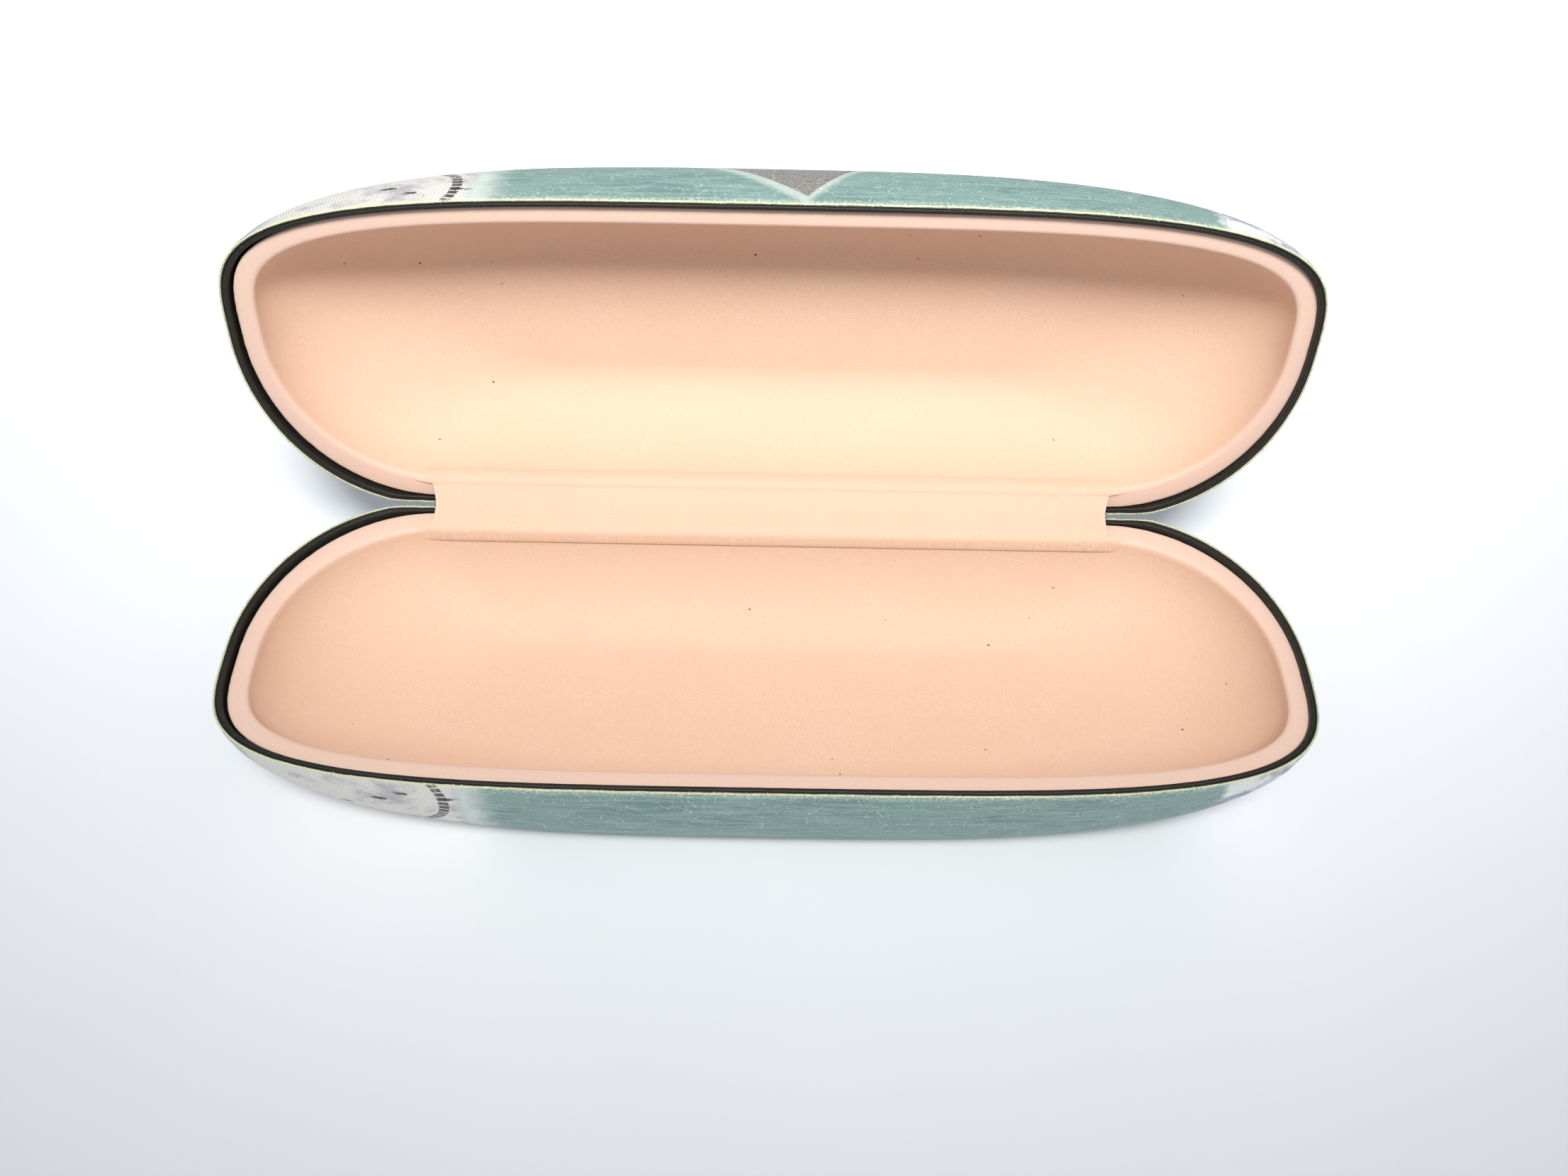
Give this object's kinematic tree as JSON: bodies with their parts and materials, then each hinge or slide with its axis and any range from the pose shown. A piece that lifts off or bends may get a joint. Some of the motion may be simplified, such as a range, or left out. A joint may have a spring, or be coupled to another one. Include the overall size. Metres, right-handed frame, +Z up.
{
  "type": "clamshell spectacle case",
  "caption": "Hard clamshell case for folded spectacles, with a snap hinge along the back, a flocked tray in each half and a canvas cover.",
  "frame": {"origin": "centre of the flat underside of the base", "axes": "+X along the case, -Y towards the front opening edge, +Z up"},
  "size_m": [0.159, 0.0787, 0.0738],
  "materials": {
    "canvas": "painted canvas, satin",
    "black_skin": "fine grained leatherette",
    "steel_sheet": "plain pressed sheet",
    "flock": "flocked, matte",
    "hinge_steel": "nickel plated",
    "spring_steel": "blued"
  },
  "bodies": {
    "base": {"base_canvas": "canvas", "base_leatherette": "black_skin", "base_edge_binding": "black_skin", "base_shell": "steel_sheet", "base_liner": "flock", "base_hinge_leaf": "hinge_steel", "base_rivets": "hinge_steel", "hinge_pin": "hinge_steel", "snap_spring": "spring_steel", "liner_hinge_strip": "flock", "spine_leatherette": "black_skin", "spine_canvas": "canvas"},
    "lid": {"lid_canvas": "canvas", "lid_leatherette": "black_skin", "lid_edge_binding": "black_skin", "lid_shell": "steel_sheet", "lid_liner": "flock", "lid_hinge_leaf": "hinge_steel", "lid_rivets": "hinge_steel"}
  },
  "joints": [
    {"name": "lid_hinge", "type": "hinge", "parent": "base", "child": "lid", "pos_m": [0, 0.0269, 0.02], "axis": [1, 0, 0], "range_deg": [0, 96], "deforming": ["liner_hinge_strip", "spine_leatherette", "spine_canvas"]}
  ]
}
